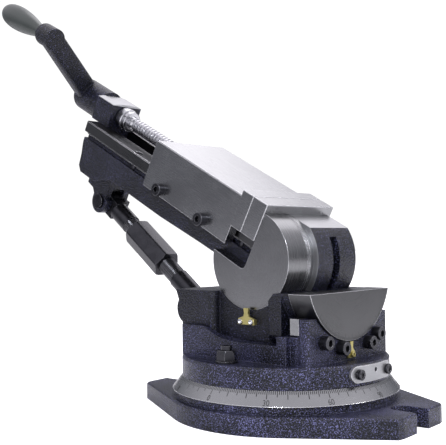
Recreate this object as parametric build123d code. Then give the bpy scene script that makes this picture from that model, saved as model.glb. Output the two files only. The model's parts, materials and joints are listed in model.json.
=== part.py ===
"""Three-way tilting and swivelling machine vise, built from its separate pieces.

Millimetres.  The origin is on the swivel axis at the underside of the base.
+Z is up, the crank end lies towards -X and the half-round dial faces +X.
"""
import os
from math import acos, atan2, cos, hypot, pi, radians, sin

from build123d import *

# ---------------------------------------------------------------- driving dimensions
JAW_WIDTH = 101.6            # nominal size of the vise, 4 inches
ELEVATION = 28.3             # angle of the bed above level in the stored pose

BASE_R = 110.5               # round part of the base plate
BASE_THICK = 17.0
BASE_WALL_R = 104.5          # plain wall under the graduated ring
BASE_TURN = 3.3              # the base as it stands under the swivel, degrees about Z
EAR_FRONT, EAR_BACK = 142.0, 149.5   # end faces of the two ears
EAR_HALF = 40.5
SLOT_HALF = 11.0             # hold-down slots, 22 mm wide
SLOT_DEPTH = 18.0            # from the end face to the centre of the round end
RING_R0, RING_R1 = 108.0, 98.6
RING_Z0, RING_Z1 = 24.5, 36.3
BOLT_CIRCLE_R = 82.0         # annular T-slot for the swivel clamp bolts

FLANGE_R = 98.6
FLANGE_Z0, FLANGE_Z1 = 36.5, 55.0
SPIGOT_R = 25.0
POST_TOP = 95.0
WALL_IN, WALL_OUT = 50.0, 66.0       # side walls of the saddle
INDEX_Z = 46.7

TILT_Z = 137.0               # side-tilt axis, along X
SADDLE_R = 83.0
HALF_DEPTH = 60.0            # half width of saddle and cradle along Y
CRADLE_X1 = 44.5
CRADLE_TOP = 116.0
DIAL_R = 64.8                # half-round dial
DIAL_X0, DIAL_X1 = 54.0, 77.6
NECK_R = 63.8
SEGMENT_R = 82.0             # clamp segment round the dial's neck

DRUM_Z = 145.0               # elevation axis, along Y
DRUM_R = 51.0
DISC_R = 46.0
DRUM_Y0, DRUM_Y1 = -50.0, 47.5   # the graduated disc face and the far end
DISC_Y1 = -13.0              # where the turned band ends and the rough drum begins

RAIL_TOP = 17.6              # heights above the drum axis, square to the bed
RAIL_HALF = 36.0
RAIL_END = 304.0
JAW_TOP = 54.7
FIXED_U0, FIXED_U1 = 2.6, 20.4
MOVING_U0, MOVING_U1 = 20.8, 35.5
BLOCK_U1 = 167.6
BLOCK_TOP = 49.0
BLOCK_HALF = 49.2
SCREW_N = 31.8
SCREW_R = 8.0
WAY_SCREW_Y = 30.0
CRANK_R = 103.8              # throw of the crank
CRANK_DIR = (-0.7995, 0.6007)  # throw direction: world y, height above the bed

PIVOT_LOW = (-108.0, 93.2)   # x, z of the strut's lower pivot
PIVOT_HIGH = (-264.0, 211.5)

RUN = 0.08                   # radial running clearance
POCKET_R = 11.3              # floating pocket for the strut's lower pin
GAP = 0.3                    # clearance between sliding cast faces


# ---------------------------------------------------------------- helpers
def block(x0, x1, y0, y1, z0, z1):
    """Box between opposite corners."""
    centre = ((x0 + x1) / 2, (y0 + y1) / 2, (z0 + z1) / 2)
    return Pos(*centre) * Box(x1 - x0, y1 - y0, z1 - z0)


def rod_x(r, x0, x1, y=0.0, z=0.0):
    """Cylinder along X."""
    return Pos((x0 + x1) / 2, y, z) * Rot(0, 90, 0) * Cylinder(r, x1 - x0)


def rod_y(r, y0, y1, x=0.0, z=0.0):
    """Cylinder along Y."""
    return Pos(x, (y0 + y1) / 2, z) * Rot(90, 0, 0) * Cylinder(r, y1 - y0)


def rod_z(r, z0, z1, x=0.0, y=0.0):
    """Cylinder along Z."""
    return Pos(x, y, (z0 + z1) / 2) * Cylinder(r, z1 - z0)


def hex_z(across, z0, z1, x=0.0, y=0.0):
    """Hexagonal prism along Z."""
    profile = RegularPolygon(across / 2, 6, major_radius=False)
    return Pos(x, y, z0) * extrude(profile, amount=z1 - z0)


def prism_y(points, y0, y1):
    """Polygon of (x, z) points extruded along Y."""
    face = make_face(Polyline(*[(x, 0, z) for x, z in points], close=True))
    solid = extrude(face, amount=y1 - y0, dir=(0, 1, 0))
    return Pos(0, y0, 0) * solid


def prism_z(points, z0, z1):
    """Polygon of (x, y) points extruded along Z."""
    face = make_face(Polyline(*points, close=True))
    return Pos(0, 0, z0) * extrude(face, amount=z1 - z0, dir=(0, 0, 1))


def socket_screw(head_r, head_h, shank_r, length):
    """Socket cap screw along Z: underside of the head at 0, shank below it."""
    screw = rod_z(head_r, 0, head_h) + rod_z(shank_r, -length, 0)
    screw -= hex_z(head_r * 0.95, head_h * 0.4, head_h + 1)
    rim = screw.edges().filter_by(GeomType.CIRCLE).sort_by(Axis.Z)[-1:]
    return chamfer(rim, 0.5)


def along(direction, x, y, z):
    """Location whose Z points along a direction."""
    return Plane(origin=(x, y, z), z_dir=direction).location


def group(solids):
    """Several equal pieces as one node."""
    return Compound(children=list(solids))


TILT = radians(ELEVATION)
BED = Plane(
    origin=(0, 0, DRUM_Z),
    x_dir=(-cos(TILT), 0, sin(TILT)),
    z_dir=(sin(TILT), 0, cos(TILT)),
).location
# On the bed, X runs to the crank end, Z is square to the rails and Y is world -Y.


# ---------------------------------------------------------------- base
def ear_side(end_x):
    """One quarter of the outline: ear corner, straight tangent, then round, for x and y positive."""
    corner = (end_x - 1.5, EAR_HALF)
    reach = hypot(*corner)
    start = atan2(corner[1], corner[0]) + acos(BASE_R / reach)
    points = [(end_x, EAR_HALF - 7), corner]
    steps = 10
    for i in range(steps + 1):
        angle = start + (pi / 2 - start) * i / steps
        points.append((BASE_R * cos(angle), BASE_R * sin(angle)))
    return points


def base_outline():
    """Round plate drawn out into an ear at each end, as (x, y) points."""
    front = ear_side(EAR_FRONT)
    back = [(-x, y) for x, y in reversed(ear_side(EAR_BACK)[:-1])]
    upper = front + back
    return upper + [(x, -y) for x, y in reversed(upper)]


def base_plate():
    outline = make_face(Polyline(*base_outline(), close=True))
    plate = extrude(outline, amount=BASE_THICK, dir=(0, 0, 1))
    rim = plate.faces().sort_by(Axis.Z)[-1].edges()
    plate = chamfer(rim, 1.5)
    plate += rod_z(BASE_WALL_R, BASE_THICK - 1, RING_Z0)
    plate += rod_z(93, RING_Z0 - 1, RING_Z1)
    for end_x, side in ((EAR_FRONT, 1), (EAR_BACK, -1)):
        centre = side * (end_x - SLOT_DEPTH)
        plate -= rod_z(SLOT_HALF, -1, 30, centre)
        ends = sorted((centre, side * (end_x + 5)))
        plate -= block(ends[0], ends[1], -SLOT_HALF, SLOT_HALF, -1, 30)
    neck = rod_z(BOLT_CIRCLE_R + 5.5, 26, 43) - rod_z(BOLT_CIRCLE_R - 5.5, 26, 43)
    room = rod_z(BOLT_CIRCLE_R + 9, 13, 26) - rod_z(BOLT_CIRCLE_R - 9, 13, 26)
    plate -= neck + room
    entry = Rot(0, 0, 45) * block(BOLT_CIRCLE_R - 9, BOLT_CIRCLE_R + 9, -10, 10, -1, 15)
    plate -= entry
    plate -= rod_z(SPIGOT_R + RUN, -1, 43)
    plate -= rod_z(32, -1, 12)
    for x0, x1 in ((-160, -36), (36, 160)):
        plate -= block(x0, x1, -8, 8, -1, 4)
    return Rot(0, 0, BASE_TURN) * plate


def graduated_ring():
    cone = Pos(0, 0, RING_Z0) * Cone(
        RING_R0, RING_R1, RING_Z1 - RING_Z0, align=(Align.CENTER, Align.CENTER, Align.MIN)
    )
    return cone - rod_z(93.02, RING_Z0 - 1, RING_Z1 + 1)


# ---------------------------------------------------------------- swivel
CLAMP_SPOTS = [(0, -BOLT_CIRCLE_R), (0, BOLT_CIRCLE_R)]
TILT_SCREWS = [(-41, 74), (-16, 67), (27, 68), (41, 75)]
RETAIN_SPOTS = [(15 * cos(a), 15 * sin(a)) for a in (pi / 2, pi * 7 / 6, pi * 11 / 6)]
INDEX_HALF = 21.5            # index plate screws on either side of the reading line


def saddle_walls():
    """Side walls that fall in an S-curve from the rear block to a low sill."""
    sill = [(-50, 83), (-45, 83), (-37, 79), (-29.5, 75.6), (-23, 73.8), (-12, 71.8), (0, 71), (46, 71)]
    profile = [(-50, FLANGE_Z1 - 1)] + sill + [(46, FLANGE_Z1 - 1)]
    wall = prism_y(profile, WALL_IN, WALL_OUT)
    return wall + prism_y(profile, -WALL_OUT, -WALL_IN)


def swivel_body():
    body = rod_z(FLANGE_R, FLANGE_Z0, FLANGE_Z1)
    body = chamfer(body.edges().sort_by(Axis.Z)[-1:], 2)
    body += rod_z(SPIGOT_R, 12.2, FLANGE_Z0 + 1)
    rear = block(-81, -50, -WALL_OUT, WALL_OUT, FLANGE_Z1 - 1, 83)
    shoulder = block(44, 54.3, -WALL_OUT, WALL_OUT, FLANGE_Z1 - 1, 79.5)
    bridge = block(54, 65, -HALF_DEPTH, HALF_DEPTH, FLANGE_Z1 - 1, 79.5)
    post = block(64.2, 75, -HALF_DEPTH - 2, HALF_DEPTH + 2, FLANGE_Z1 - 1, POST_TOP)
    post = fillet(post.edges().filter_by(Axis.Z), 3)
    saddle = rear + saddle_walls() + shoulder + bridge + post
    body += saddle & rod_z(FLANGE_R, 50, 120)
    body -= rod_x(SADDLE_R + GAP, -100, CRADLE_X1 + GAP, z=TILT_Z)
    body -= rod_x(NECK_R + GAP, 44, 54.3, z=TILT_Z)
    body -= rod_x(SEGMENT_R + GAP, 54.3, 64.2, z=TILT_Z)
    body -= rod_x(DIAL_R + GAP, 53.7, 90, z=TILT_Z)
    for y, z in TILT_SCREWS:
        body -= rod_x(4.1, 63, 80, y, z)
    for x, y in CLAMP_SPOTS:
        body -= rod_z(5.3, 30, 60, x, y)
        body -= rod_z(11.5, FLANGE_Z1 - 0.01, 73, x, y)
    for x, y in RETAIN_SPOTS:
        body -= rod_z(3.02, 8, 27, x, y)
    for y in (-INDEX_HALF, INDEX_HALF):
        body -= rod_x(3.02, 84, 120, y, INDEX_Z)
    return body - rod_x(1.52, 65, 80, 0, 60)


def clamp_bolts():
    """T-bolts whose heads run in the ring slot of the base."""
    parts = []
    for x, y in CLAMP_SPOTS:
        head = block(x - 7.5, x + 7.5, y - 8.4, y + 8.4, 17.5, 25.6)
        parts.append(head + rod_z(5, 23, FLANGE_Z1 + 15, x, y))
    return group(parts)


def clamp_washers():
    parts = []
    for x, y in CLAMP_SPOTS:
        washer = rod_z(10.2, FLANGE_Z1, FLANGE_Z1 + 2, x, y)
        parts.append(washer - rod_z(5.2, 40, 60, x, y))
    return group(parts)


def clamp_nuts():
    parts = []
    for x, y in CLAMP_SPOTS:
        nut = hex_z(16, FLANGE_Z1 + 2, FLANGE_Z1 + 11, x, y)
        nut &= Pos(x, y, FLANGE_Z1) * Cone(11.5, 7.5, 14, align=(Align.CENTER,) * 2 + (Align.MIN,))
        parts.append(nut - rod_z(5.02, 50, 70, x, y))
    return group(parts)


def retaining_plate():
    plate = rod_z(31, 6, 11.8)
    for x, y in RETAIN_SPOTS:
        plate -= rod_z(3.3, 3, 13, x, y)
    return plate - rod_z(6, 3, 13)


def retaining_screws():
    screw = Rot(180, 0, 0) * socket_screw(5, 2.6, 3, 18)
    return group(Pos(x, y, 6) * screw for x, y in RETAIN_SPOTS)


def index_plate():
    """Oblong steel plate on the rim of the swivel, carrying the reading line."""
    sheet = rod_z(101.0, 38.6, 55.4) - rod_z(FLANGE_R + 0.02, 30, 60)
    oval = Pos(85, 0, INDEX_Z) * Rot(0, 90, 0) * extrude(SlotOverall(60, 14.5, rotation=90), 30)
    plate = sheet & oval
    for y in (-INDEX_HALF, INDEX_HALF):
        plate -= rod_x(3.2, 80, 120, y, INDEX_Z)
    return plate - rod_x(2.1, 80, 120, 1, INDEX_Z + 2.2)


def index_screws():
    screw = Rot(0, 90, 0) * socket_screw(4.6, 2.8, 3, 14)
    return group(Pos(99.65, y, INDEX_Z) * screw for y in (-INDEX_HALF, INDEX_HALF))


def clamp_segment():
    """Curved bar round the dial's neck that the four end screws draw up."""
    bar = rod_x(SEGMENT_R, 54.6, 63.9, z=TILT_Z) - rod_x(NECK_R + 1.6, 50, 70, z=TILT_Z)
    bar &= block(50, 70, -HALF_DEPTH, HALF_DEPTH, 50, POST_TOP)
    for y, z in TILT_SCREWS:
        bar -= rod_x(4.02, 50, 70, y, z)
    return bar


def tilt_screws():
    screw = Rot(0, 90, 0) * socket_screw(6.2, 8.5, 4, 19)
    return group(Pos(75, y, z) * screw for y, z in TILT_SCREWS)


def pointer_shape(width, height, stem, thick):
    """Flared pointer in the XZ plane, tip up, base line at z = 0."""
    half = width / 2
    points = [(-half, 0), (half, 0), (half - 0.6, height * 0.36)]
    points += [(stem / 2 + 1, height * 0.5), (stem / 2, height * 0.66), (stem / 2 + 0.8, height)]
    points += [(-x, z) for x, z in reversed(points[2:])]
    return prism_y(points, 0, thick)


def tilt_pointer():
    blade = Rot(0, 0, 90) * pointer_shape(11, 14.5, 3.2, 2)
    blade = Pos(77.1, 0, 57) * blade
    return blade - rod_x(1.6, 70, 80, 0, 60)


def tilt_pointer_screw():
    return Pos(77.1, 0, 60) * Rot(0, 90, 0) * socket_screw(2.6, 2.4, 1.5, 8)


# ---------------------------------------------------------------- cradle
def rounded_mouth(x0, x1, y_out, y_in, r):
    """Plan of a recess open towards -Y whose two outer corners are rounded off."""
    points = [(x0 - r, y_out - 10)]
    steps = 6
    turns = [pi / 2 * i / steps for i in range(steps + 1)]
    points += [(x0 - r + r * sin(t), y_out + r - r * cos(t)) for t in turns]
    points += [(x0, y_in), (x1, y_in)]
    points += [(x1 + r - r * sin(t), y_out + r - r * cos(t)) for t in reversed(turns)]
    return points + [(x1 + r, y_out - 10)]


def tilt_cradle():
    body = rod_x(SADDLE_R, -79, CRADLE_X1, z=TILT_Z)
    body &= block(-79, CRADLE_X1, -HALF_DEPTH, HALF_DEPTH, 40, CRADLE_TOP)
    flare = [(-79, CRADLE_TOP - 23), (-79, CRADLE_TOP), (-88, CRADLE_TOP)]
    body += prism_y(flare, -HALF_DEPTH, HALF_DEPTH)
    neck = rod_x(NECK_R, CRADLE_X1 - 1, DIAL_X0, z=TILT_Z)
    body += neck & block(40, 60, -70, 70, 40, CRADLE_TOP)
    body -= rod_y(DISC_R + GAP, -70, DISC_Y1 - GAP, z=DRUM_Z)
    body -= rod_y(DRUM_R + GAP, DISC_Y1 - GAP, DRUM_Y1 + GAP, z=DRUM_Z)
    body -= prism_z(rounded_mouth(-37, 27, -HALF_DEPTH, -51, 6), 40, 125)
    body -= block(-34, 34, -40, 40, 40, 77)
    low_x, low_z = PIVOT_LOW
    lug = rod_y(16.5, -24, 24, low_x, low_z)
    lug += block(low_x, -78, -24, 24, low_z - 16.5, low_z + 13)
    lug &= block(-140, 0, -30, 30, 40, CRADLE_TOP)
    body += lug
    body -= block(low_x - 20, low_x + 22, -12, 12, 60, 133)
    body -= rod_y(POCKET_R, -20, 20, low_x, low_z)
    body -= rod_z(5.2, 60, 120, 0, 16)
    for y in (-30, 30):
        body -= rod_x(4.02, 45, 60, y, 103)
    for x in (-6.5, 6.5):
        body -= rod_y(1.52, -60, -44, x, 88.8)
    return body


def drum_bolt():
    """T-bolt that clamps the drum: its head runs in the drum's ring slot."""
    bolt = rod_z(5, 65, 106, 0, 16)
    return bolt + block(-6, 6, 8.6, 23.4, 104, 110)


def drum_bolt_nut():
    nut = hex_z(16, 67, 75, 0, 16)
    return nut - rod_z(5.02, 60, 80, 0, 16)


def drum_bolt_washer():
    return rod_z(10, 75, 77, 0, 16) - rod_z(5.2, 60, 80, 0, 16)


def half_dial():
    dial = rod_x(DIAL_R, DIAL_X0, DIAL_X1, z=TILT_Z)
    dial &= block(50, 80, -70, 70, 40, CRADLE_TOP + 0.2)
    for y in (-30, 30):
        dial -= rod_x(4.05, 50, 62, y, 103)
    return dial


def dial_dowels():
    return group(rod_x(4, 46, 61.5, y, 103) for y in (-30, 30))


def drum_pointer():
    blade = pointer_shape(20, 15, 4.4, 2.4)
    blade = Pos(0, -55.8, 86.2) * blade
    foot = block(-9, 9, -53.5, -51, 86.2, 91)
    pointer = blade + foot
    for x in (-6.5, 6.5):
        pointer -= rod_y(1.6, -60, -45, x, 88.8)
    return pointer


def drum_pointer_screws():
    screw = Rot(90, 0, 0) * socket_screw(2.5, 1.8, 1.5, 9)
    return group(Pos(x, -55.8, 88.8) * screw for x in (-6.5, 6.5))


# ---------------------------------------------------------------- bed (drawn level, then raised)
BEAM_OUTLINE = [
    (0, -1.5), (0, -20), (75, -22.3), (108, -24), (141, -25.8), (177, -26.3), (236, -27),
    (262, -40.5), (290, -40.8), (296, -35), (297.5, -22), (301, -8), (301, -1.5),
]
LUG_OUTLINE = [
    (247, -30), (294, -30), (294, -55), (282.5, -57), (277.5, -62), (277.5, -66.5), (250.5, -66.5), (249, -50),
]


def bed_casting():
    drum = rod_y(DRUM_R, -DRUM_Y1, -DISC_Y1)
    drum -= block(-60, 60, -60, 60, 45.5, 80)
    body = drum + prism_y(BEAM_OUTLINE, -RAIL_HALF, RAIL_HALF)
    body += prism_y(LUG_OUTLINE, -17, 17)
    high = bed_point(*PIVOT_HIGH)
    body += rod_y(13.5, -17, 17, high[0], high[1])
    body -= block(FIXED_U0, 60, -60, 60, -1.5, 80)
    for side in (-1, 1):
        ends = sorted((side * (RAIL_HALF + 0.01), side * 60))
        body -= block(2.0, 80, ends[0], ends[1], -12, 80)
    body += block(FIXED_U0, 301, -31, 31, -3, 2)
    body -= block(50, 256, -26.5, 26.5, -60, 10)
    body -= block(22, 286, -14, 14, -1.5, 10)
    body -= block(high[0] - 26, high[0] + 24, -9, 9, -100, -47)
    body -= rod_y(6.05, -30, 30, high[0], high[1])
    body -= rod_y(DISC_R + 0.02, -DISC_Y1, 60) - dial_notch()
    body -= ring_slot()
    for side in (-1, 1):
        body -= rod_x(4.05, -16, 10, side * 25, 34)
        for u in WAY_SCREW_U:
            body -= rod_z(3.25, -12, 3, u, side * WAY_SCREW_Y)
    for y in BRACKET_SCREW_Y:
        body -= rod_z(3.3, -12, 3, BRACKET_SCREW_U, y)
        body -= rod_z(5.3, -60, -10, BRACKET_SCREW_U, y)
    return body


def ring_slot():
    """T-section slot round the drum for the head of the drum bolt."""
    neck = rod_y(60, -21.5, -10.5) - rod_y(33, -22, -10)
    room = rod_y(42, -24.5, -7.5) - rod_y(33, -25, -7)
    wedge = pie(128, 200, 90, -30, 0)
    return (neck + room) & wedge


def pie(start, sweep, r, y0, y1):
    """Sector about Y, angles in degrees from +X towards +Z."""
    points = [(0, 0)]
    steps = 12
    for i in range(steps + 1):
        angle = radians(start + sweep * i / steps)
        points.append((r * cos(angle), r * sin(angle)))
    return prism_y(points, y0, y1)


def bed_point(x, z):
    """World (x, z) in the bed's own (u, n)."""
    dz = z - DRUM_Z
    return (-x * cos(TILT) + dz * sin(TILT), x * sin(TILT) + dz * cos(TILT))


def dial_notch():
    """Opening in the disc for the bed and the fixed jaw, with a rounded corner."""
    notch = block(2.0, 60, 0, 60, -12, 80)
    corner = notch.edges().filter_by(Axis.Y).sort_by(lambda e: e.center().X + e.center().Z)
    return fillet(corner[:1], 5)


def drum_dial():
    disc = rod_y(DISC_R, -DISC_Y1, -DRUM_Y0) - dial_notch()
    for y in (18, 21):
        disc -= rod_y(60, y, y + 1.2) - rod_y(DISC_R - 0.8, y - 1, y + 2)
    return disc - rod_x(4.05, -16, 10, 25, 34)


WAY_SCREW_U = (30, 120, 210)
BRACKET_SCREW_U = 295
BRACKET_SCREW_Y = (-7, 7)


def guide_way(side):
    ends = sorted((side * 14, side * RAIL_HALF))
    way = block(FIXED_U0, RAIL_END, ends[0], ends[1], 2, RAIL_TOP)
    under = sorted((side * 31.01, side * 40))
    way -= block(0, 310, under[0], under[1], -5, 5)
    edge = way.edges().filter_by(Axis.X).sort_by(lambda e: -e.center().Z - side * e.center().Y)[:1]
    way = chamfer(edge, 1)
    for u in WAY_SCREW_U:
        way -= rod_z(3.3, -5, 30, u, side * WAY_SCREW_Y)
        way -= rod_z(5.2, RAIL_TOP - 7, 30, u, side * WAY_SCREW_Y)
    return way


def way_screws():
    screw = socket_screw(4.9, 6, 3.2, 20)
    spots = [(u, side * WAY_SCREW_Y) for u in WAY_SCREW_U for side in (-1, 1)]
    return group(Pos(u, y, RAIL_TOP - 6.8) * screw for u, y in spots)


def jaw_plate(u0, u1, head_side):
    plate = block(u0, u1, -JAW_WIDTH / 2, JAW_WIDTH / 2, RAIL_TOP + 0.1, JAW_TOP)
    plate = chamfer(plate.edges(), 0.5)
    for side in (-1, 1):
        plate -= rod_x(4.3, u0 - 1, u1 + 1, side * 25, 34)
        if head_side > 0:
            plate -= rod_x(7, u1 - 9, u1 + 1, side * 25, 34)
        else:
            plate -= rod_x(7, u0 - 1, u0 + 9, side * 25, 34)
    return plate


def jaw_screws(u, direction):
    screw = Rot(0, 90 * direction, 0) * socket_screw(6.5, 8, 4, 20)
    return group(Pos(u, side * 25, 34) * screw for side in (-1, 1))


def screw_bracket():
    """Upright bearing block with a slightly crowned top and a tongue between the ways."""
    crown = [(-20.8, RAIL_TOP), (-20.8, 45.3), (-12, 46.8), (0, 47.3), (12, 46.8), (20.8, 45.3), (20.8, RAIL_TOP)]
    face = make_face(Polyline(*[(286.4, y, n) for y, n in crown], close=True))
    bracket = extrude(face, amount=31.6, dir=(1, 0, 0))
    bracket += block(286.4, RAIL_END, -13.8, 13.8, 2, RAIL_TOP + 1)
    bracket -= rod_x(SCREW_R + RUN, 280, 330, z=SCREW_N)
    for y in BRACKET_SCREW_Y:
        bracket -= rod_z(3.02, 0, 12, BRACKET_SCREW_U, y)
    return bracket


def bracket_screws():
    """Two screws from below, through the bed into the tongue of the bracket."""
    screw = Rot(180, 0, 0) * socket_screw(5, 5, 3, 20)
    return group(Pos(BRACKET_SCREW_U, y, -10.2) * screw for y in BRACKET_SCREW_Y)


def upper_pin():
    high = bed_point(*PIVOT_HIGH)
    pin = rod_y(6, -19, 19, high[0], high[1])
    return pin + rod_y(8.5, 17.2, 20, high[0], high[1])


def pin_clip():
    high = bed_point(*PIVOT_HIGH)
    ring = rod_y(8.5, -18.6, -17.2, high[0], high[1])
    return ring - rod_y(6.02, -20, -16, high[0], high[1])


# ---------------------------------------------------------------- moving jaw
def jaw_block():
    body = block(MOVING_U1, BLOCK_U1, -BLOCK_HALF, BLOCK_HALF, RAIL_TOP + 0.05, BLOCK_TOP)
    for side in (-1, 1):
        ends = sorted((side * 39.1, side * BLOCK_HALF))
        body += block(MOVING_U1, BLOCK_U1, ends[0], ends[1], -1.5, RAIL_TOP + 1)
    body += block(60, 150, -13.6, 13.6, -1.7, RAIL_TOP + 1)
    body = chamfer(body.faces().sort_by(Axis.Z)[-1].edges(), 1)
    body -= rod_x(11.5, 44, 180, z=SCREW_N)
    body -= block(138, 180, -15.1, 15.1, RAIL_TOP - 5, 44.1)
    for side in (-1, 1):
        body -= rod_x(4.05, MOVING_U1 - 1, MOVING_U1 + 16, side * 25, 34)
        for u in (71.8, 139.4):
            body -= rod_y(4.05, *sorted((side * 30, side * 60)), u, 5.7)
    for u in (75, 128):
        body -= rod_z(3.05, -5, 13, u)
    return body


def gib_strips():
    parts = []
    for side in (-1, 1):
        ends = sorted((side * 36.3, side * 39.0))
        parts.append(block(40, 163, ends[0], ends[1], 5.4, 17.3))
    return group(parts)


def gib_screws():
    parts = []
    for side in (-1, 1):
        screw = Rot(-90 * side, 0, 0) * socket_screw(6.5, 8, 4, 9.3)
        parts += [Pos(u, side * BLOCK_HALF, 5.7) * screw for u in (71.8, 139.4)]
    return group(parts)


def hold_down_plate():
    plate = block(60, 150, -26.1, 26.1, -9.8, -1.8)
    for u in (75, 128):
        plate -= rod_z(3.3, -20, 5, u)
        plate -= rod_z(5.3, -20, -4, u)
    return plate


def hold_down_screws():
    screw = Rot(180, 0, 0) * socket_screw(5, 5, 3, 13)
    return group(Pos(u, 0, -4) * screw for u in (75, 128))


def lead_nut():
    nut = block(138.2, BLOCK_U1 - 1, -15, 15, RAIL_TOP + 0.4, 44)
    nut -= rod_x(SCREW_R + RUN, 130, 180, z=SCREW_N)
    return nut


# ---------------------------------------------------------------- screw and crank
def lead_screw():
    screw = rod_x(SCREW_R, 132, 340, z=SCREW_N)
    screw += rod_x(12, 270, 276, z=SCREW_N)
    screw = chamfer(screw.edges().filter_by(GeomType.CIRCLE).sort_by(Axis.X)[:1], 1.5)
    return screw - rod_y(3.02, -30, 30, 330, SCREW_N)


def thrust_collar():
    collar = rod_x(13.2, 276.1, 286.1, z=SCREW_N)
    collar = chamfer(collar.edges().filter_by(GeomType.CIRCLE), 1)
    return collar - rod_x(SCREW_R + 0.02, 270, 290, z=SCREW_N)


def crank_tip():
    """(local y, n) of the handle axis: local Y is world -Y."""
    return (-CRANK_DIR[0] * CRANK_R, SCREW_N + CRANK_DIR[1] * CRANK_R)


def crank_arm():
    hub = rod_x(19.3, 318.4, 370, z=SCREW_N)
    rims = hub.edges().filter_by(GeomType.CIRCLE).sort_by(Axis.X)
    hub = fillet(rims[-1:], 5)
    y, n = crank_tip()
    root = Plane(origin=(360, 0, SCREW_N), x_dir=(1, 0, 0), z_dir=(0, y, n - SCREW_N))
    tip = Plane(origin=(350, y, n), x_dir=(1, 0, 0), z_dir=(0, y, n - SCREW_N))
    arm = loft([root * RectangleRounded(17, 26, 5), tip * RectangleRounded(17, 24, 5)])
    knuckle = rod_x(12.5, 341, 368, y, n)
    knuckle = fillet(knuckle.edges().filter_by(GeomType.CIRCLE).sort_by(Axis.X)[-1:], 6)
    arm += knuckle + hub
    arm -= rod_x(SCREW_R + 0.02, 300, 340.1, z=SCREW_N)
    arm -= rod_y(3.02, -30, 30, 330, SCREW_N)
    return arm - rod_x(5.02, 352, 380, y, n)


def crank_pin():
    return rod_y(3, -19, 19, 330, SCREW_N)


def handle_spindle():
    y, n = crank_tip()
    return rod_x(5, 353, 448, y, n)


def handle_grip():
    """Egg-shaped grip turned about the spindle."""
    y, n = crank_tip()
    outline = [(0, 6.6), (4, 6.9), (18, 9.5), (45, 13.4), (66, 13.2), (80, 9.0), (86, 0)]
    curve = Spline(*[(x, r) for x, r in outline])
    profile = make_face(curve + Polyline((86, 0), (0, 0), (0, 6.6)))
    solid = revolve(profile, Axis.X)
    grip = Pos(368.4, y, n) * solid
    return grip - rod_x(5 + RUN, 360, 448.4, y, n)


# ---------------------------------------------------------------- elevating strut
LOW_TO_HIGH = (PIVOT_HIGH[0] - PIVOT_LOW[0], PIVOT_HIGH[1] - PIVOT_LOW[1])
STRUT_LENGTH = hypot(*LOW_TO_HIGH)
STRUT = Plane(
    origin=(PIVOT_LOW[0], 0, PIVOT_LOW[1]),
    x_dir=(0, -1, 0),
    z_dir=(LOW_TO_HIGH[0], 0, LOW_TO_HIGH[1]),
).location
# On the strut, Z runs from the lower pivot to the upper one and X is world -Y.


NUT_TOP = STRUT_LENGTH - 60.3


def upper_eye():
    top = STRUT_LENGTH
    eye = rod_x(13, -8.6, 8.6, z=top)
    eye += block(-8.6, 8.6, -10.5, 10.5, top - 21, top)
    eye += rod_z(11, top - 47.7, top - 20)
    eye += rod_z(9.5, NUT_TOP + 0.3, top - 47)
    eye += rod_z(7, NUT_TOP - 11.7, NUT_TOP + 1)
    eye += rod_z(10.5, NUT_TOP - 11.7, NUT_TOP - 7.7)
    return eye - rod_x(6.05, -20, 20, z=top)


def strut_nut():
    bottom = NUT_TOP - 62.5
    nut = hex_z(29.5, bottom, NUT_TOP) & rod_z(16.5, bottom, NUT_TOP)
    nut = chamfer(nut.edges().filter_by(GeomType.CIRCLE), 1)
    nut -= rod_z(7.1, NUT_TOP - 10, NUT_TOP + 1)
    nut -= rod_z(10.6, NUT_TOP - 12.4, NUT_TOP - 7.2)
    return nut - rod_z(10.1, bottom - 1, NUT_TOP - 12)


def lower_rod():
    rod = rod_z(10, 40, NUT_TOP - 36.5)
    rod += rod_z(11, 0, 49)
    rod += rod_x(14, -11.4, 11.4)
    return rod - rod_x(6.02, -20, 20)


def lower_pin():
    return rod_x(6, -19, 19)


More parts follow.
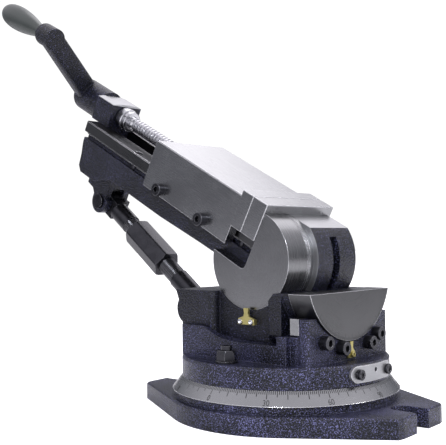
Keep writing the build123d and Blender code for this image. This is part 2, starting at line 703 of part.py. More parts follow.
# ---------------------------------------------------------------- export
def build():
    nodes = {
        "base_plate": base_plate(),
        "graduated_ring": graduated_ring(),
        "swivel_body": swivel_body(),
        "clamp_bolts": clamp_bolts(),
        "clamp_washers": clamp_washers(),
        "clamp_nuts": clamp_nuts(),
        "retaining_plate": retaining_plate(),
        "retaining_screws": retaining_screws(),
        "index_plate": index_plate(),
        "index_screws": index_screws(),
        "clamp_segment": clamp_segment(),
        "tilt_screws": tilt_screws(),
        "tilt_pointer": tilt_pointer(),
        "tilt_pointer_screw": tilt_pointer_screw(),
        "tilt_cradle": tilt_cradle(),
        "half_dial": half_dial(),
        "dial_dowels": dial_dowels(),
        "drum_bolt": drum_bolt(),
        "drum_bolt_nut": drum_bolt_nut(),
        "drum_bolt_washer": drum_bolt_washer(),
        "drum_pointer": drum_pointer(),
        "drum_pointer_screws": drum_pointer_screws(),
    }
    on_bed = {
        "bed_casting": bed_casting(),
        "drum_dial": drum_dial(),
        "way_near": guide_way(1),
        "way_far": guide_way(-1),
        "way_screws": way_screws(),
        "fixed_jaw_plate": jaw_plate(FIXED_U0, FIXED_U1, 1),
        "fixed_jaw_screws": jaw_screws(FIXED_U1 - 8.5, 1),
        "screw_bracket": screw_bracket(),
        "bracket_screws": bracket_screws(),
        "upper_pin": upper_pin(),
        "pin_clip": pin_clip(),
        "jaw_block": jaw_block(),
        "moving_jaw_plate": jaw_plate(MOVING_U0, MOVING_U1, -1),
        "moving_jaw_screws": jaw_screws(MOVING_U0 + 8.5, -1),
        "gib_strips": gib_strips(),
        "gib_screws": gib_screws(),
        "hold_down_plate": hold_down_plate(),
        "hold_down_screws": hold_down_screws(),
        "lead_nut": lead_nut(),
        "lead_screw": lead_screw(),
        "thrust_collar": thrust_collar(),
        "crank_arm": crank_arm(),
        "crank_pin": crank_pin(),
        "handle_spindle": handle_spindle(),
        "handle_grip": handle_grip(),
    }
    on_strut = {
        "upper_eye": upper_eye(),
        "strut_nut": strut_nut(),
        "lower_rod": lower_rod(),
        "lower_pin": lower_pin(),
    }
    for name, shape in on_bed.items():
        nodes[name] = BED * shape
    for name, shape in on_strut.items():
        nodes[name] = STRUT * shape
    return nodes


if __name__ == "__main__":
    os.makedirs("parts", exist_ok=True)
    for name, shape in build().items():
        export_step(shape, "parts/" + name + ".step")
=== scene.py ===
"""Looks of a three-way tilting and swivelling machine vise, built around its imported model.

Metres throughout.  +Z is up, the crank end lies towards -X, the half-round dial faces +X
and the graduated elevation disc faces -Y.
"""
import json
from math import atan2, cos, pi, radians, sin

import bmesh
import bpy
from bpy.props import FloatProperty, FloatVectorProperty, PointerProperty
from bpy.types import Operator, Panel, PropertyGroup
from mathutils import Matrix, Vector


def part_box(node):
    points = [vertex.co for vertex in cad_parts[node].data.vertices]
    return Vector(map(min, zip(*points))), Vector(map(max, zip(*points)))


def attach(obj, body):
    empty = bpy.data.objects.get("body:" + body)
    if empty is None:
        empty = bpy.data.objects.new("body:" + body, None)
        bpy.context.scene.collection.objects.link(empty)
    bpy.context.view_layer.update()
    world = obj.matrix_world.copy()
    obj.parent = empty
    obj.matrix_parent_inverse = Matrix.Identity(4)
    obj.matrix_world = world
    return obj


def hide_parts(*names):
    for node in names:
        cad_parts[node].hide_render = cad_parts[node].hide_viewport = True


bl_info = {
    "name": "Three-way machine vise",
    "version": (1, 0, 0),
    "blender": (4, 5, 0),
    "location": "View3D > Sidebar > Vise",
    "description": "Finishes and fine detail for a tilting, swivelling machine vise",
    "category": "Object",
}

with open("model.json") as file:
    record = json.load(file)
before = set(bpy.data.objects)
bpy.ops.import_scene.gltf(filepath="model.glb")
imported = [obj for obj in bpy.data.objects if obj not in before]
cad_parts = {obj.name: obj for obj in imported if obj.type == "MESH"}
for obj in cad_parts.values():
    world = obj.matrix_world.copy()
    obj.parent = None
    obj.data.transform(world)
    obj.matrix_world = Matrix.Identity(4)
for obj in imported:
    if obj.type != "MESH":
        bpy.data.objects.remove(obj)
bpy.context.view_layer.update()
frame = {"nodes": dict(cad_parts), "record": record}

MM = 0.001


def joint(name):
    """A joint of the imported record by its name."""
    return next(j for j in frame["record"]["behaviour"]["joints"] if j["name"] == name)


ELEVATION_PIVOT = Vector(joint("elevation")["pos_m"])
TILT_PIVOT = Vector(joint("side_tilt")["pos_m"])
BED_AXIS = Vector(joint("jaw_slide")["axis"]).normalized()
BED_ANGLE = atan2(BED_AXIS.z, -BED_AXIS.x)
BED_UP = Vector((sin(BED_ANGLE), 0, cos(BED_ANGLE)))
BED_TURN = (0.0, -BED_ANGLE, 0.0)
SCREW_HEIGHT = (Vector(joint("crank_turn")["pos_m"]) - ELEVATION_PIVOT).dot(BED_UP)
STRUT_TOP = Vector(joint("strut_swing")["pos_m"])
STRUT_AXIS = Vector(joint("strut_extend")["axis"]).normalized()
RING_LOW, RING_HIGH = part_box("graduated_ring")[0][2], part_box("graduated_ring")[1][2]
RING_R0, RING_R1 = 108.0 * MM, 98.6 * MM
DISC_R, DISC_FACE = 46.0 * MM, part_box("drum_dial")[0][1]
DIAL_R, DIAL_FACE = 64.8 * MM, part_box("half_dial")[1][0]
# Near white laid into the colour along the edges of ground and turned steel: a painted highlight.
STEEL_EDGE_PAINTED_HIGHLIGHT = (0.95, 0.95, 0.98)

BED_FRAME = Matrix.Translation(ELEVATION_PIVOT) @ Matrix((
    (BED_AXIS.x, 0, BED_UP.x),
    (0, -1, 0),
    (BED_AXIS.z, 0, BED_UP.z),
)).to_4x4()
# In the bed frame X runs to the crank end, Z is square to the ways and Y is world -Y.


# ------------------------------------------------------------------ settings
class ViseFinishSettings(PropertyGroup):
    paint_colour: FloatVectorProperty(
        name="Paint", description="Black hammer paint of the castings",
        subtype="COLOR", size=3, min=0, max=1, default=(0.006, 0.0065, 0.010),
    )
    steel_colour: FloatVectorProperty(
        name="Ground steel", description="Machined faces of bed, jaws and dials",
        subtype="COLOR", size=3, min=0, max=1, default=(0.50, 0.505, 0.52),
    )
    brass_colour: FloatVectorProperty(
        name="Brass", description="The two pointers",
        subtype="COLOR", size=3, min=0, max=1, default=(0.62, 0.55, 0.22),
    )
    grip_colour: FloatVectorProperty(
        name="Grip", description="Smooth handle grip",
        subtype="COLOR", size=3, min=0, max=1, default=(0.075, 0.085, 0.08),
    )
    paint_grain: FloatProperty(
        name="Paint grain", description="Size of the bumps in the hammer paint",
        subtype="DISTANCE", unit="LENGTH", min=0.0002, max=0.01, default=0.0012,
    )
    fleck_colour: FloatVectorProperty(
        name="Flecks", description="Bluish metallic flecks in the paint",
        subtype="COLOR", size=3, min=0, max=1, default=(0.22, 0.225, 0.46),
    )


class ViseScrewSettings(PropertyGroup):
    pitch: FloatProperty(
        name="Pitch", description="Travel of the jaw for one turn of the crank",
        subtype="DISTANCE", unit="LENGTH", min=0.001, max=0.02, default=0.005,
    )
    depth: FloatProperty(
        name="Thread depth", description="Height of the trapezoidal thread",
        subtype="DISTANCE", unit="LENGTH", min=0.0005, max=0.01, default=0.0019,
    )
    figure_height: FloatProperty(
        name="Figure height", description="Height of the figures on the base ring",
        subtype="DISTANCE", unit="LENGTH", min=0.001, max=0.02, default=0.0044,
    )


class ViseStageSettings(PropertyGroup):
    focal_length: FloatProperty(
        name="Focal length", description="Lens of the camera, in millimetres",
        unit="CAMERA", min=10, max=300, default=63.55,
    )
    floor_colour: FloatVectorProperty(
        name="Floor", description="Pale floor and background",
        subtype="COLOR", size=3, min=0, max=1, default=(0.93, 0.93, 0.93),
    )
    softbox_power: FloatProperty(
        name="Softbox power", description="Power of the main overhead light",
        unit="POWER", min=0, max=1000, default=11,
    )


# ------------------------------------------------------------------ shader maths
class Wire:
    """A socket that can be written into Python expressions."""

    def __init__(self, kit, socket):
        self.kit = kit
        self.socket = socket

    def _math(self, operation, *values):
        return self.kit.node("ShaderNodeMath", {"operation": operation}, list(values))

    def __add__(self, other):
        return self._math("ADD", self, other)

    def __radd__(self, other):
        return self._math("ADD", other, self)

    def __sub__(self, other):
        return self._math("SUBTRACT", self, other)

    def __rsub__(self, other):
        return self._math("SUBTRACT", other, self)

    def __mul__(self, other):
        return self._math("MULTIPLY", self, other)

    def __rmul__(self, other):
        return self._math("MULTIPLY", other, self)

    def __truediv__(self, other):
        return self._math("DIVIDE", self, other)

    def __lt__(self, other):
        return self._math("LESS_THAN", self, other)

    def __gt__(self, other):
        return self._math("GREATER_THAN", self, other)

    def __pow__(self, other):
        return self._math("POWER", self, other)

    def __abs__(self):
        return self._math("ABSOLUTE", self)

    def fract(self):
        return self._math("FRACT", self)

    def clamp(self):
        return self.kit.node("ShaderNodeClamp", {}, [self, 0.0, 1.0])


class Finish:
    """One material: its node tree, its principled shader and short ways to add nodes."""

    def __init__(self, name):
        self.material = bpy.data.materials.new(name)
        self.material.use_nodes = True
        self.tree = self.material.node_tree
        self.shader = self.tree.nodes["Principled BSDF"]

    def node(self, kind, settings, values=(), output=0):
        """Adds a node, sets it, fills or links its sockets and returns one output as a Wire."""
        made = self.tree.nodes.new(kind)
        for key, value in settings.items():
            if key == "stops":
                ramp = made.color_ramp
                while len(ramp.elements) < len(value):
                    ramp.elements.new(0.5)
                for element, (place, colour) in zip(ramp.elements, value):
                    element.position = place
                    element.color = (*colour, 1)
            else:
                setattr(made, key, value)
        pairs = values.items() if isinstance(values, dict) else enumerate(values)
        for key, value in pairs:
            self.fill(made.inputs[key], value)
        return Wire(self, made.outputs[output])

    def fill(self, socket, value):
        if isinstance(value, Wire):
            self.tree.links.new(value.socket, socket)
        elif value is not None:
            socket.default_value = value

    def set(self, **values):
        """Sets sockets of the principled shader, for example Base_Color=..."""
        for key, value in values.items():
            self.fill(self.shader.inputs[key.replace("_", " ")], value)

    def place(self, origin=(0, 0, 0), turn=(0, 0, 0), scale=(1, 1, 1)):
        """Object coordinates seen from an origin, turned about Y so a pattern lies with the bed."""
        raw = self.node("ShaderNodeTexCoord", {}, output="Object")
        moved = self.node("ShaderNodeVectorMath", {"operation": "SUBTRACT"}, [raw, tuple(origin)])
        turned = self.node("ShaderNodeVectorRotate", {"rotation_type": "EULER_XYZ"},
                           {"Vector": moved, "Rotation": tuple(turn)})
        return self.node("ShaderNodeVectorMath", {"operation": "MULTIPLY"}, [turned, tuple(scale)])

    def axes(self, vector):
        """X, Y and Z of a vector as three wires."""
        made = self.tree.nodes.new("ShaderNodeSeparateXYZ")
        self.fill(made.inputs[0], vector)
        return [Wire(self, made.outputs[i]) for i in range(3)]

    def noise(self, vector, scale, detail=3.0, rough=0.5):
        return self.node("ShaderNodeTexNoise", {},
                         {"Vector": vector, "Scale": scale, "Detail": detail, "Roughness": rough})

    def mix(self, factor, first, second):
        """Colour mix; colours are 3-tuples or wires."""
        made = self.tree.nodes.new("ShaderNodeMix")
        made.data_type = "RGBA"
        for index, value in ((0, factor), (6, first), (7, second)):
            if isinstance(value, tuple) and len(value) == 3:
                value = (*value, 1)
            self.fill(made.inputs[index], value)
        return Wire(self, made.outputs[2])

    def edge(self, radius, gain):
        """1 along outer and inner edges, 0 on open faces."""
        rounded = self.node("ShaderNodeBevel", {"samples": 4}, {"Radius": radius})
        facing = self.node("ShaderNodeNewGeometry", {}, output="Normal")
        same = self.node("ShaderNodeVectorMath", {"operation": "DOT_PRODUCT"}, [rounded, facing], "Value")
        return ((1 - same) * gain).clamp()

    def bump(self, height, strength, distance, radius=0.0005):
        """Feeds Normal from a height, on top of softly rounded edges."""
        edge = self.node("ShaderNodeBevel", {"samples": 4}, {"Radius": radius})
        normal = self.node("ShaderNodeBump", {},
                           {"Strength": strength, "Distance": distance, "Height": height, "Normal": edge})
        self.set(Normal=normal)


# ------------------------------------------------------------------ finishes
def hammer_paint(name, settings, flecks=1.0, land=None):
    """Black paint dried into small glossy lumps with bluish flecks; land masks machined faces."""
    f = Finish(name)
    where = f.place()
    lumps = f.node("ShaderNodeTexVoronoi", {"feature": "SMOOTH_F1"},
                   {"Vector": where, "Scale": 0.8 / settings.paint_grain, "Smoothness": 0.6})
    fine = f.noise(where, 1.2 / settings.paint_grain, 3.0, 0.65)
    broad = f.noise(where, 26.0, 3.0)
    paint = tuple(settings.paint_colour)
    low = 0.66 - 0.09 * flecks
    sparkle = f.node("ShaderNodeMapRange", {},
                     {"Value": fine + (broad - 0.5) * 0.16, "From Min": low, "From Max": low + 0.10})
    colour = f.mix(sparkle, paint, tuple(settings.fleck_colour))
    worn = f.edge(0.0012, 5.0)
    colour = f.mix(worn * 0.25, colour, (0.13, 0.13, 0.17))
    rough = (broad * 0.2 + 0.16).clamp()
    metal = sparkle * 0.6
    height = lumps * 0.6 + fine * 0.6
    if land is not None:
        mask = land(f)
        lines = f.noise(f.place(turn=BED_TURN, scale=(1, 0.06, 1)), 900.0, 3.0)
        colour = f.mix(mask, colour, tuple(c * 0.8 for c in settings.steel_colour))
        rough = rough * (1 - mask) + (lines * 0.2 + 0.3) * mask
        metal = metal * (1 - mask) + mask
        height = height * (1 - mask) + lines * mask * 0.06
    f.set(Base_Color=colour, Roughness=rough, Metallic=metal)
    f.set(Specular_IOR_Level=0.35)
    f.bump(height, 0.85, 0.0009, 0.0012)
    return f.material


def bed_lands(f):
    """Machined flat on the drum and the turned step behind its disc."""
    x, y, z = f.axes(f.place(ELEVATION_PIVOT, BED_TURN))
    flat = (z > 45.3 * MM) * (abs(x) < 40 * MM)
    radius = (x * x + z * z) ** 0.5
    step = (y < -12.9 * MM) * (radius > 45.8 * MM) * (radius < 51.5 * MM) * (x > -8 * MM)
    return (flat + step).clamp()


def bracket_land(f):
    """Machined crown of the screw bracket."""
    return f.axes(f.place(ELEVATION_PIVOT, BED_TURN))[2] > 44.8 * MM


def ground_steel(name, settings, turn, stretch, dark=1.0, rough=0.3):
    """Ground faces: fine straight lines along one direction, with a painted highlight along the edges."""
    f = Finish(name)
    lines = f.noise(f.place(turn=turn, scale=stretch), 1100.0, 4.0, 0.6)
    cloud = f.noise(f.place(), 22.0, 4.0, 0.6)
    base = tuple(c * dark for c in settings.steel_colour)
    worn = tuple(c * dark * 0.72 for c in settings.steel_colour)
    colour = f.mix(cloud, worn, base)
    colour = f.mix((lines - 0.42).clamp() * 0.5, colour, tuple(c * 0.5 for c in base))
    # Edges painted near white as a highlight.
    colour = f.mix(f.edge(0.0007, 12.0), colour, STEEL_EDGE_PAINTED_HIGHLIGHT)
    f.set(Base_Color=colour, Metallic=1.0)
    f.set(Roughness=(rough + (lines - 0.5) * 0.16 + (cloud - 0.5) * 0.14).clamp())
    f.bump(lines, 0.06, 0.0002)
    return f.material


def turned_steel(name, settings, origin, axis, dark=1.0, rough=0.28, marks=None):
    """Turned faces: rings about an axis, a painted highlight along the edges and optional engraved marks."""
    f = Finish(name)
    x, y, z = f.axes(f.place(origin=origin))
    across = {"X": (y, z), "Y": (x, z), "Z": (x, y)}[axis]
    along = {"X": x, "Y": y, "Z": z}[axis]
    radius = (across[0] * across[0] + across[1] * across[1]) ** 0.5
    grooves = f.node("ShaderNodeCombineXYZ", {}, [radius, along, 0.0])
    rings = f.noise(grooves, 2400.0, 3.0, 0.6)
    cloud = f.noise(f.place(), 30.0, 3.0)
    base = tuple(c * dark for c in settings.steel_colour)
    worn = tuple(c * dark * 0.72 for c in settings.steel_colour)
    colour = f.mix(cloud, worn, base)
    # Edges painted near white as a highlight.
    colour = f.mix(f.edge(0.0007, 12.0), colour, STEEL_EDGE_PAINTED_HIGHLIGHT)
    if marks is not None:
        mask = marks(f, across, along, radius)
        colour = f.mix(mask, colour, (0.012, 0.012, 0.012))
    f.set(Base_Color=colour, Metallic=1.0)
    f.set(Roughness=(rough + (rings - 0.5) * 0.2 + (cloud - 0.5) * 0.12).clamp())
    f.bump(rings, 0.1, 0.0002)
    return f.material


def black_oxide(name, thread=None):
    """Blackened screws, strut and hidden hardware; thread gives the relief of a rolled thread."""
    f = Finish(name)
    cloud = f.noise(f.place(), 90.0, 4.0)
    colour = f.mix(cloud, (0.02, 0.02, 0.024), (0.075, 0.075, 0.085))
    if thread is None:
        f.bump(cloud, 0.12, 0.0004)
    else:
        ridge = thread(f)
        colour = f.mix(ridge * 0.5, colour, (0.3, 0.3, 0.32))
        f.bump(cloud * 0.1 + ridge, 0.8, 0.0006)
    f.set(Base_Color=f.mix(f.edge(0.0006, 6.0) * 0.6, colour, (0.4, 0.4, 0.43)), Metallic=0.9)
    f.set(Roughness=(cloud * 0.25 + 0.16).clamp())
    return f.material


def strut_thread(f):
    """Ridges 2 mm apart on both ends of the strut, beside the nut and inside it."""
    offset = f.place(STRUT_TOP)
    along = f.node("ShaderNodeVectorMath", {"operation": "DOT_PRODUCT"}, [offset, tuple(STRUT_AXIS)], "Value")
    ridge = abs((along / (2.0 * MM)).fract() - 0.5) * 2
    return (along > 47.9 * MM) * (along < 146.5 * MM) * ridge


def engraving(name):
    """Dark filling of the engraved figures."""
    f = Finish(name)
    cloud = f.noise(f.place(), 400.0, 2.0)
    f.set(Base_Color=f.mix(cloud, (0.008, 0.008, 0.008), (0.03, 0.03, 0.03)), Metallic=0.0)
    f.set(Roughness=(cloud * 0.2 + 0.5).clamp())
    return f.material


def bright_turned(name):
    """Polished collar and screw."""
    f = Finish(name)
    cloud = f.noise(f.place(), 120.0, 3.0)
    f.set(Base_Color=f.mix(cloud, (0.42, 0.42, 0.45), (0.66, 0.66, 0.68)), Metallic=1.0)
    f.set(Roughness=(cloud * 0.2 + 0.12).clamp())
    f.bump(cloud, 0.05, 0.0003)
    return f.material


def dull_brass(name, settings):
    f = Finish(name)
    cloud = f.noise(f.place(), 260.0, 3.0)
    base = tuple(settings.brass_colour)
    worn = tuple(c * 0.6 for c in base)
    f.set(Base_Color=f.mix(cloud, worn, base), Metallic=0.85)
    f.set(Roughness=(cloud * 0.2 + 0.28).clamp())
    f.bump(cloud, 0.08, 0.0003)
    return f.material


def smooth_grip(name, settings):
    f = Finish(name)
    cloud = f.noise(f.place(), 45.0, 3.0)
    base = tuple(settings.grip_colour)
    worn = tuple(c * 0.7 for c in base)
    f.set(Base_Color=f.mix(cloud, worn, base), Metallic=0.3)
    f.set(Roughness=(cloud * 0.14 + 0.3).clamp(), Coat_Weight=0.2)
    f.bump(cloud, 0.04, 0.0004)
    return f.material


def ring_marks(f, across, along, radius):
    """Degree lines that hang from the upper edge of the conical ring."""
    angle = f.node("ShaderNodeMath", {"operation": "ARCTAN2"}, [across[1], across[0]])
    degree = angle * (180 / pi) + 360.0
    return degree_lines(f, degree, RING_HIGH - along, (2.6 * MM, 4.4 * MM, 6.0 * MM), 0.17)


def degree_lines(f, degree, depth, lengths, width):
    """Lines one degree apart that start at depth 0; every 5th and 10th is longer."""
    mask = None
    for step, length in zip((1, 5, 10), lengths):
        near = abs((degree / step + 0.5).fract() - 0.5) < width / step
        part = near * (depth < length)
        mask = part if mask is None else f.node("ShaderNodeMath", {"operation": "MAXIMUM"}, [mask, part])
    return mask


def lower_rim_lines(f, across, depth, lengths):
    """Degree lines along a round rim, within about 50 degrees of its lowest point."""
    angle = f.node("ShaderNodeMath", {"operation": "ARCTAN2"}, [across[0], 0 - across[1]])
    degree = angle * (180 / pi) + 360.0
    return degree_lines(f, degree, depth, lengths, 0.12) * (abs(degree - 360.0) < 50.6)


def half_dial_marks(f, across, along, radius):
    """Lines on the end face of the half-round dial."""
    lines = lower_rim_lines(f, across, DIAL_R - radius, (3 * MM, 4.4 * MM, 6 * MM))
    return lines * (along > DIAL_FACE - 0.1 * MM)


def disc_marks(f, across, along, radius):
    """Faint lines on the face of the elevation disc."""
    lines = lower_rim_lines(f, across, DISC_R - radius, (2 * MM, 3 * MM, 4.4 * MM))
    return lines * (along < DISC_FACE + 0.1 * MM) * 0.6


NODE_FINISH = {
    "Base paint": ["base_plate", "swivel_body"],
    "Cradle paint": ["tilt_cradle", "crank_arm"],
    "Bed paint": ["bed_casting"],
    "Bracket paint": ["screw_bracket"],
    "Jaw steel": ["fixed_jaw_plate", "moving_jaw_plate", "jaw_block", "gib_strips", "clamp_segment"],
    "Way steel": ["way_near", "way_far"],
    "Ring steel": ["graduated_ring"],
    "Disc steel": ["drum_dial"],
    "Half dial steel": ["half_dial"],
    "Plate steel": ["index_plate"],
    "Black oxide": [
        "clamp_bolts", "clamp_washers", "clamp_nuts", "retaining_plate", "retaining_screws",
        "index_screws", "tilt_screws", "drum_bolt", "drum_bolt_nut", "drum_bolt_washer",
        "way_screws", "fixed_jaw_screws", "moving_jaw_screws", "bracket_screws", "upper_pin",
        "pin_clip", "gib_screws", "hold_down_plate", "hold_down_screws", "crank_pin",
        "handle_spindle", "strut_nut", "lower_pin",
    ],
    "Strut steel": ["upper_eye", "lower_rod"],
    "Bright turned": ["dial_dowels", "drum_pointer_screws", "lead_screw", "thrust_collar"],
    "Dull brass": ["tilt_pointer", "tilt_pointer_screw", "drum_pointer", "lead_nut"],
    "Smooth grip": ["handle_grip"],
}


def finish_of(name):
    return bpy.data.materials[name]


class VISE_OT_finishes(Operator):
    """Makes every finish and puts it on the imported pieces"""

    bl_idname = "vise.finishes"
    bl_label = "Finishes"

    def execute(self, context):
        settings = context.scene.vise_finish
        hammer_paint("Base paint", settings, 1.25)
        hammer_paint("Cradle paint", settings, 0.7)
        hammer_paint("Bed paint", settings, 0.85, bed_lands)
        hammer_paint("Bracket paint", settings, 0.85, bracket_land)
        ground_steel("Jaw steel", settings, BED_TURN, (0.04, 1, 1), 0.72, 0.26)
        ground_steel("Way steel", settings, BED_TURN, (0.04, 1, 1), 0.24, 0.3)
        ground_steel("Plate steel", settings, (0, 0, 0), (1, 0.1, 1), 0.95, 0.42)
        turned_steel("Ring steel", settings, (0, 0, 0), "Z", 0.7, 0.24, ring_marks)
        turned_steel("Disc steel", settings, ELEVATION_PIVOT, "Y", 0.52, 0.27, disc_marks)
        turned_steel("Half dial steel", settings, (0, 0, TILT_PIVOT.z), "X", 0.26, 0.3, half_dial_marks)
        engraving("Engraving")
        black_oxide("Black oxide")
        black_oxide("Strut steel", strut_thread)
        bright_turned("Bright turned")
        dull_brass("Dull brass", settings)
        smooth_grip("Smooth grip", settings)
        for name, nodes in NODE_FINISH.items():
            for node in nodes:
                piece = frame["nodes"][node]
                piece.data.materials.clear()
                piece.data.materials.append(finish_of(name))
        return {"FINISHED"}


# ------------------------------------------------------------------ lead screw and figures
def piece_from(shape, name, material):
    """Turns a bmesh into a finished object with outward faces and one material."""
    bmesh.ops.recalc_face_normals(shape, faces=shape.faces)
    mesh = bpy.data.meshes.new(name)
    shape.to_mesh(mesh)
    shape.free()
    mesh.materials.append(finish_of(material))
    piece = bpy.data.objects.new(name, mesh)
    bpy.context.scene.collection.objects.link(piece)
    return piece


def smooth_by_angle(shape, limit):
    """Smooth faces with sharp edges above an angle."""
    for face in shape.faces:
        face.smooth = True
    for edge in shape.edges:
        edge.smooth = len(edge.link_faces) == 2 and edge.calc_face_angle(pi) < limit


def turned_profile(shape, outline, steps=48):
    """Spins a chain of (x, r) points about the X axis into a closed turned body."""
    points = [shape.verts.new((x, 0, r)) for x, r in outline]
    chain = [shape.edges.new(pair) for pair in zip(points, points[1:])]
    bmesh.ops.spin(shape, geom=points + chain, cent=(0, 0, 0), axis=(1, 0, 0), angle=2 * pi,
                   steps=steps, use_merge=True)


class VISE_OT_lead_screw(Operator):
    """Lead screw with its trapezoidal thread, shoulder and bearing journal"""

    bl_idname = "vise.lead_screw"
    bl_label = "Lead screw"

    def execute(self, context):
        settings = context.scene.vise_screw
        outer, start, end = 7.95 * MM, 132.2 * MM, 262.0 * MM
        root = outer - settings.depth
        shape = bmesh.new()
        turned_profile(shape, [
            (start, 0), (start, root - 0.001), (start + 0.001, root), (end, root), (end + 0.0015, outer),
            (270 * MM, outer), (270.3 * MM, 11.4 * MM), (270.9 * MM, 12 * MM), (275.4 * MM, 12 * MM),
            (276 * MM, 11.4 * MM), (276 * MM, outer), (340 * MM, outer), (340 * MM, 0),
        ])
        self.thread(shape, settings.pitch, root, outer, start, end)
        bmesh.ops.remove_doubles(shape, verts=shape.verts, dist=1e-7)
        smooth_by_angle(shape, radians(35))
        bmesh.ops.translate(shape, verts=shape.verts, vec=(0, 0, SCREW_HEIGHT))
        bmesh.ops.transform(shape, matrix=BED_FRAME, verts=shape.verts)
        screw = piece_from(shape, "screw_with_thread", "Bright turned")
        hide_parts("lead_screw")
        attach(screw, "crank")
        return {"FINISHED"}

    def thread(self, shape, pitch, root, outer, start, end):
        """One trapezoidal ridge wound round the root, closed at both ends."""
        flank, crest = pitch * 0.14, pitch * 0.2
        wide, sunk = flank + crest, root - 0.0002
        outline = [(-wide, sunk), (-crest, outer), (crest, outer), (wide, sunk)]
        first = start + wide
        ring = [shape.verts.new((first + x, 0, r)) for x, r in outline]
        chain = [shape.edges.new((ring[i], ring[(i + 1) % 4])) for i in range(4)]
        turns = int((end - first - wide) / pitch)
        steps = 24
        made = bmesh.ops.spin(shape, geom=ring + chain, cent=(0, 0, 0), axis=(1, 0, 0),
                              dvec=(pitch / steps, 0, 0), angle=2 * pi * turns, steps=steps * turns)
        last = [item for item in made["geom_last"] if isinstance(item, bmesh.types.BMEdge)]
        bmesh.ops.contextual_create(shape, geom=chain)
        bmesh.ops.contextual_create(shape, geom=last)


class VISE_OT_ring_figures(Operator):
    """Figures 0 to 90 in steps of 30 round the base ring"""

    bl_idname = "vise.ring_figures"
    bl_label = "Ring figures"

    def execute(self, context):
        height = context.scene.vise_screw.figure_height
        shape = bmesh.new()
        for quarter in range(12):
            value = (0, 30, 60, 90, 60, 30)[quarter % 6]
            self.figure(context, shape, str(value), radians(30 * quarter), height)
        figures = piece_from(shape, "ring_figures", "Engraving")
        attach(figures, "base")
        return {"FINISHED"}

    def figure(self, context, shape, text, place, height):
        """Writes one number flat, then bends it round the cone of the ring."""
        curve = bpy.data.curves.new("figure", "FONT")
        curve.body = text
        curve.size = height * 1.35
        curve.align_x = "CENTER"
        writing = bpy.data.objects.new("figure", curve)
        context.scene.collection.objects.link(writing)
        context.view_layer.update()
        mesh = bpy.data.meshes.new_from_object(writing.evaluated_get(context.evaluated_depsgraph_get()))
        bpy.data.objects.remove(writing)
        part = bmesh.new()
        part.from_mesh(mesh)
        bmesh.ops.subdivide_edges(part, edges=part.edges, cuts=1)
        for vert in part.verts:
            rise = (RING_HIGH - RING_LOW) * 0.09 + vert.co.y
            share = rise / (RING_HIGH - RING_LOW)
            radius = RING_R0 + (RING_R1 - RING_R0) * share + 0.06 * MM
            angle = place + vert.co.x / radius
            vert.co = Vector((radius * sin(angle), -radius * cos(angle), RING_LOW + rise))
        part.to_mesh(mesh)
        part.free()
        shape.from_mesh(mesh)
        bpy.data.meshes.remove(mesh)


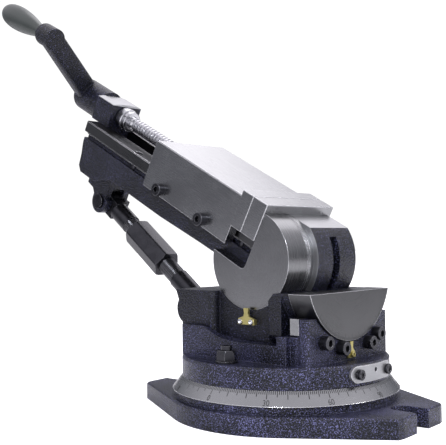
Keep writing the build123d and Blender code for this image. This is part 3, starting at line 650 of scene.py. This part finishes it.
# ------------------------------------------------------------------ stage
class VISE_OT_stage(Operator):
    """Pale floor, soft lights and the camera"""

    bl_idname = "vise.stage"
    bl_label = "Stage"

    def execute(self, context):
        settings = context.scene.vise_stage
        self.floor(settings)
        self.world(context)
        context.scene.view_settings.view_transform = "Standard"
        self.lights(settings)
        self.camera(context, settings)
        return {"FINISHED"}

    def floor(self, settings):
        mesh = bpy.data.meshes.new("floor")
        shape = bmesh.new()
        bmesh.ops.create_grid(shape, x_segments=1, y_segments=1, size=8)
        shape.to_mesh(mesh)
        shape.free()
        ground = bpy.data.objects.new("floor", mesh)
        bpy.context.scene.collection.objects.link(ground)
        f = Finish("Pale floor")
        colour = (*settings.floor_colour, 1)
        seen = f.node("ShaderNodeLightPath", {}, output="Is Camera Ray")
        glow = f.mix(seen, (0.0, 0.0, 0.0), colour)
        f.set(Base_Color=colour, Roughness=0.9, Emission_Color=glow, Emission_Strength=0.75)
        mesh.materials.append(f.material)

    def world(self, context):
        """White behind the object; for light and reflections bright above and dim at the horizon."""
        world = bpy.data.worlds.new("Studio")
        world.use_nodes = True
        tree = world.node_tree
        seen = tree.nodes.new("ShaderNodeBackground")
        seen.inputs["Color"].default_value = (1, 1, 1, 1)
        seen.inputs["Strength"].default_value = 1.05
        room = tree.nodes["Background"]
        room.inputs["Strength"].default_value = 1.0
        direction = tree.nodes.new("ShaderNodeTexCoord")
        split = tree.nodes.new("ShaderNodeSeparateXYZ")
        ramp = tree.nodes.new("ShaderNodeValToRGB")
        stops = ((0.0, (0.13, 0.13, 0.15)), (0.25, (0.36, 0.37, 0.41)), (0.62, (1.0, 0.98, 1.05)))
        ramp.color_ramp.elements.new(0.5)
        for element, (place, colour) in zip(ramp.color_ramp.elements, stops):
            element.position = place
            element.color = (*colour, 1)
        path = tree.nodes.new("ShaderNodeLightPath")
        mix = tree.nodes.new("ShaderNodeMixShader")
        tree.links.new(direction.outputs["Generated"], split.inputs[0])
        tree.links.new(split.outputs["Z"], ramp.inputs[0])
        tree.links.new(ramp.outputs[0], room.inputs["Color"])
        tree.links.new(path.outputs["Is Camera Ray"], mix.inputs[0])
        tree.links.new(room.outputs[0], mix.inputs[1])
        tree.links.new(seen.outputs[0], mix.inputs[2])
        tree.links.new(mix.outputs[0], tree.nodes["World Output"].inputs[0])
        context.scene.world = world

    def softbox(self, name, place, target, size, power, colour=(1, 1, 1)):
        light = bpy.data.lights.new(name, "AREA")
        light.energy = power
        light.size = size
        light.color = colour
        lamp = bpy.data.objects.new(name, light)
        lamp.location = place
        lamp.rotation_euler = (Vector(target) - Vector(place)).to_track_quat("-Z", "Y").to_euler()
        bpy.context.scene.collection.objects.link(lamp)

    def lights(self, settings):
        power = settings.softbox_power
        self.softbox("overhead", (-0.25, 0.75, 1.35), (-0.05, 0, 0.2), 1.3, power * 0.7, (1, 0.97, 1))
        self.softbox("front", (0.62, -1.1, 0.75), (0, 0, 0.12), 0.16, power * 0.65, (0.93, 0.95, 1))
        self.softbox("rim", (1.2, 0.5, 0.6), (0, 0, 0.15), 0.4, power * 0.5)

    def camera(self, context, settings):
        heading, pitch, roll = radians(43.27), radians(1.30), radians(-0.74)
        forward = Vector((-sin(heading) * cos(pitch), cos(heading) * cos(pitch), sin(pitch)))
        level = Vector((cos(heading), sin(heading), 0))
        upright = level.cross(forward)
        right = level * cos(roll) + upright * sin(roll)
        top = upright * cos(roll) - level * sin(roll)
        turn = Matrix((right, top, -forward)).transposed()
        lens = bpy.data.cameras.new("camera")
        lens.lens = settings.focal_length
        lens.clip_start = 0.01
        camera = bpy.data.objects.new("camera", lens)
        camera.matrix_world = Matrix.Translation((0.4790, -0.5934, 0.1633)) @ turn.to_4x4()
        context.scene.collection.objects.link(camera)
        context.scene.camera = camera


# ------------------------------------------------------------------ panel and registration
STEPS = (VISE_OT_finishes, VISE_OT_lead_screw, VISE_OT_ring_figures, VISE_OT_stage)


class VISE_PT_panel(Panel):
    bl_label = "Vise"
    bl_idname = "VISE_PT_panel"
    bl_space_type = "VIEW_3D"
    bl_region_type = "UI"
    bl_category = "Vise"

    def draw(self, context):
        for step in STEPS:
            self.layout.operator(step.bl_idname)


CLASSES = (ViseFinishSettings, ViseScrewSettings, ViseStageSettings, *STEPS, VISE_PT_panel)


def register():
    for item in CLASSES:
        bpy.utils.register_class(item)
    bpy.types.Scene.vise_finish = PointerProperty(type=ViseFinishSettings)
    bpy.types.Scene.vise_screw = PointerProperty(type=ViseScrewSettings)
    bpy.types.Scene.vise_stage = PointerProperty(type=ViseStageSettings)


def unregister():
    del bpy.types.Scene.vise_stage
    del bpy.types.Scene.vise_screw
    del bpy.types.Scene.vise_finish
    for item in reversed(CLASSES):
        bpy.utils.unregister_class(item)


def main():
    register()
    for step in STEPS:
        group, name = step.bl_idname.split(".")
        getattr(getattr(bpy.ops, group), name)()


if __name__ == "__main__":
    main()
